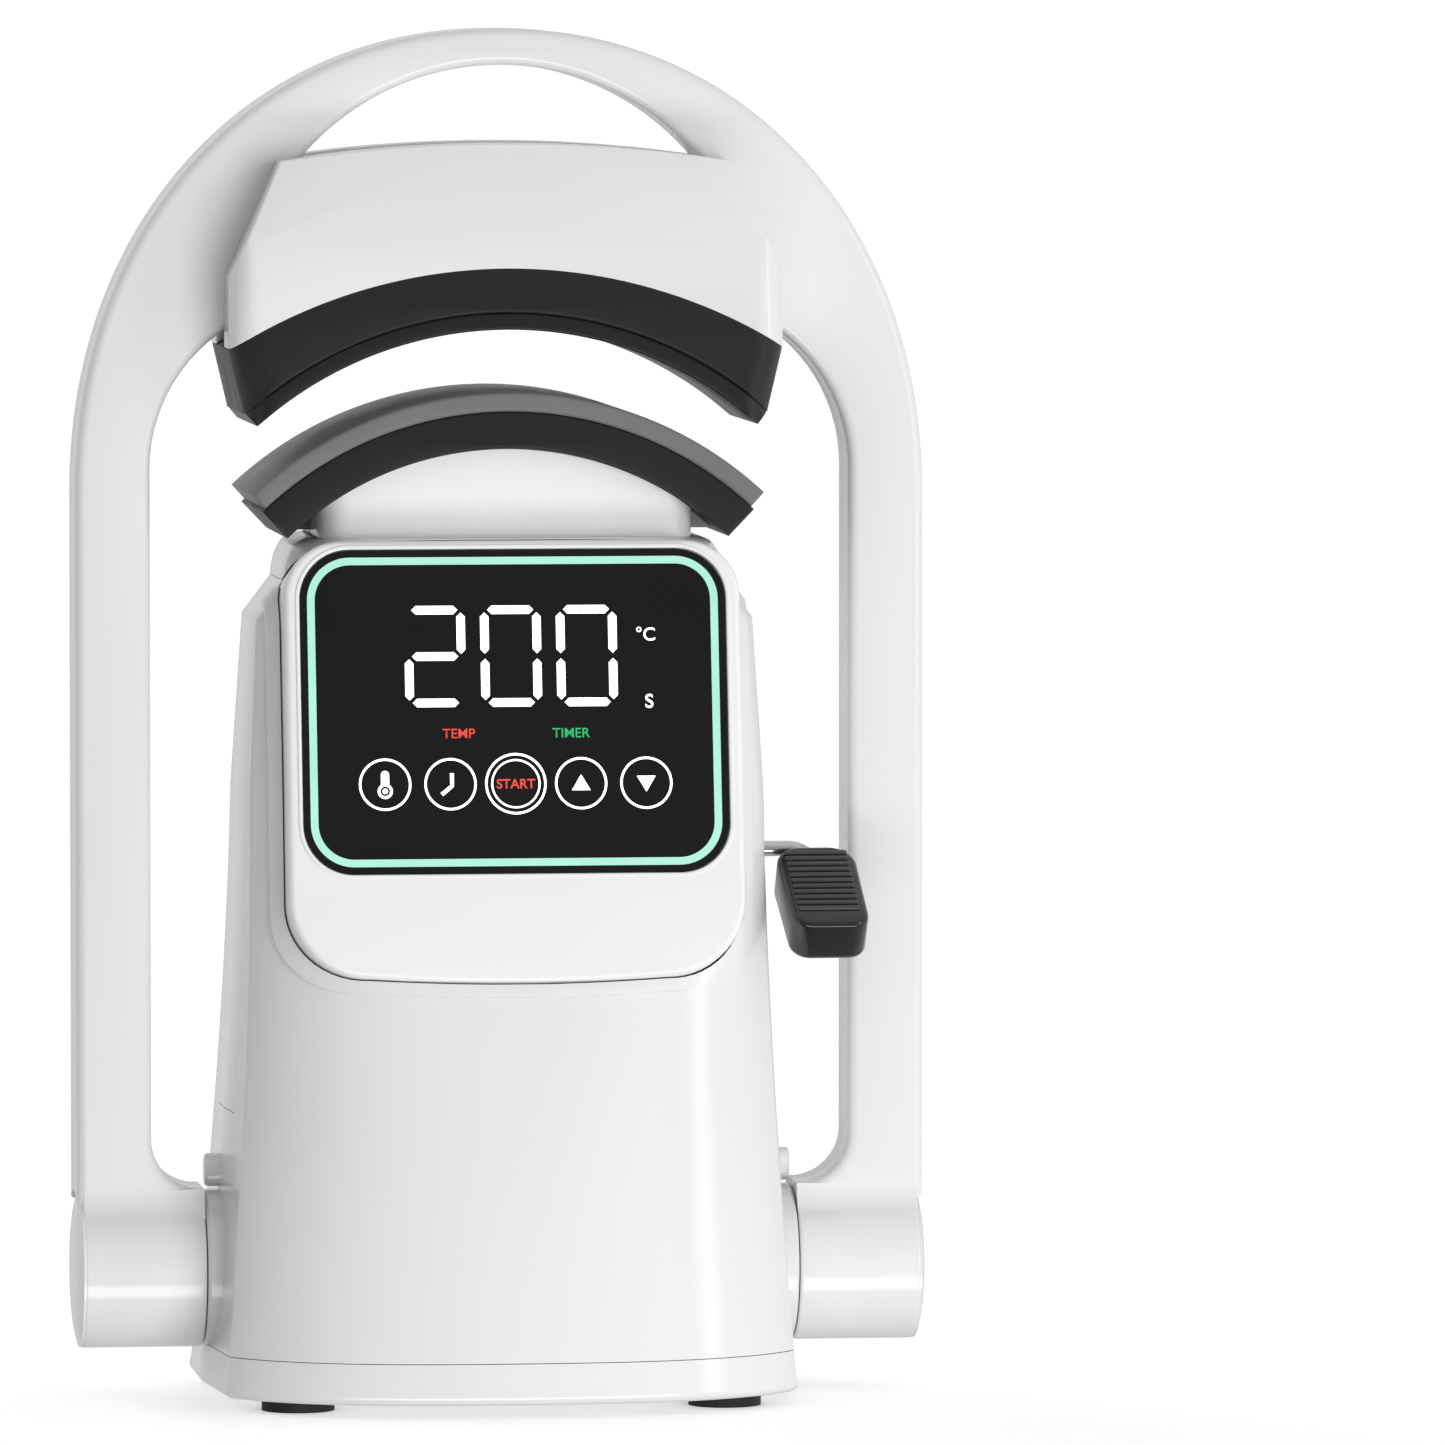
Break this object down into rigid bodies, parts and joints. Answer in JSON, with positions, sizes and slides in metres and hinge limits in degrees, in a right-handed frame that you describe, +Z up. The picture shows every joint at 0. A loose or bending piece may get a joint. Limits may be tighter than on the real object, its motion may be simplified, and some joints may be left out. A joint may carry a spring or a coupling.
{
  "type": "cap heat press",
  "caption": "Upright heat press for caps: a swing arch with a curved heated platen, a motor-lifted padded lower platen, a touch display and a tension lever.",
  "frame": {"origin": "centre of the footprint, at the undersides of the feet", "axes": "+X to the right seen from the front, +Y to the back, +Z up; the front panel looks along -Y"},
  "size_m": [0.283, 0.166, 0.453],
  "materials": {
    "white_shell": "gloss",
    "white_cover": "gloss",
    "grey_white_panel": "satin",
    "black_plastic": "matte",
    "display_black": "gloss",
    "light_strip": "gloss",
    "circuit_board": "satin",
    "rubber_foot": "matte",
    "steel": "satin",
    "aluminium": "satin",
    "zinc_grey": "satin",
    "bronze": "satin",
    "black_coated": "satin",
    "heater_plate": "satin",
    "silicone_pad": "matte",
    "polyimide": "satin",
    "insulation": "matte"
  },
  "bodies": {
    "root": {"base_tray": "white_cover", "main_shell": "white_shell", "rear_cover": "white_cover", "side_panel_left": "grey_white_panel", "side_panel_right": "grey_white_panel", "fascia": "white_shell", "display_glass": "display_black", "light_ring": "light_strip", "display_module": "black_plastic", "control_board": "circuit_board", "power_board": "circuit_board", "power_inlet": "black_plastic", "switch_bezel": "black_plastic", "frame_base": "steel", "frame_side_left": "steel", "frame_side_right": "steel", "lower_guide_plate": "steel", "upper_guide_plate": "steel", "guide_bushes": "bronze", "pivot_shaft_left": "steel", "pivot_shaft_right": "steel", "gear_motor": "steel", "motor_mount": "steel", "screw_bearings": "steel", "lever_bushes": "black_plastic", "feet": "rubber_foot", "foot_screws": "steel"},
    "lift": {"lift_yoke": "steel", "lift_nut": "bronze", "lift_posts": "steel", "platen_bracket": "zinc_grey", "platen_pegs": "steel", "neck_front_cover": "white_shell", "neck_rear_cover": "white_cover"},
    "platen": {"lower_platen_base": "black_coated", "lower_pad": "silicone_pad"},
    "screw": {"lead_screw": "steel", "shaft_coupler": "aluminium"},
    "arch": {"arch_front_shell": "white_shell", "arch_rear_shell": "white_cover", "arch_front_legs": "white_shell", "arch_rear_legs": "white_cover", "arch_frame": "aluminium", "pivot_bushes": "bronze", "pivot_cap_left": "white_shell", "pivot_cap_right": "white_shell", "head_front_cover": "white_shell", "head_rear_cover": "white_cover", "platen_housing": "black_coated", "heating_plate": "heater_plate", "heating_film": "polyimide", "insulation_pad": "insulation", "thermostat": "steel", "arch_screws": "steel"},
    "lever": {"lever_shaft": "steel", "lever_grip": "black_plastic", "lever_pinion": "zinc_grey"},
    "hook": {"cap_hook": "zinc_grey", "hook_rack": "zinc_grey"},
    "rocker": {"power_rocker": "black_plastic"}
  },
  "joints": [
    {"name": "arch_swing", "type": "hinge", "parent": "root", "child": "arch", "pos_m": [0, 0, 0.0427], "axis": [-1, 0, 0], "range_deg": [0, 55]},
    {"name": "platen_lift", "type": "slide", "parent": "root", "child": "lift", "axis": [0, 0, 1], "range_m": [0, 0.019]},
    {"name": "screw_spin", "type": "hinge", "parent": "root", "child": "screw", "pos_m": [0, 0, 0.18], "axis": [0, 0, 1], "range_deg": [0, 1712]},
    {"name": "platen_removal", "type": "slide", "parent": "lift", "child": "platen", "axis": [0, 0, 1], "range_m": [0, 0.012]},
    {"name": "tension_lever", "type": "hinge", "parent": "root", "child": "lever", "pos_m": [0.08, -0.022, 0.181], "axis": [-1, 0, 0], "range_deg": [0, 45]},
    {"name": "hook_pull", "type": "slide", "parent": "root", "child": "hook", "axis": [0, 0, -1], "range_m": [0, 0.0095]},
    {"name": "power_switch", "type": "hinge", "parent": "root", "child": "rocker", "pos_m": [0.0285, 0.0734, 0.0535], "axis": [-1, 0, 0], "range_deg": [0, 14]}
  ],
  "couplings": [
    {"joint": "screw_spin", "follows": "platen_lift", "rad_per_m": 1570.8},
    {"joint": "hook_pull", "follows": "tension_lever", "m_per_rad": 0.012}
  ]
}
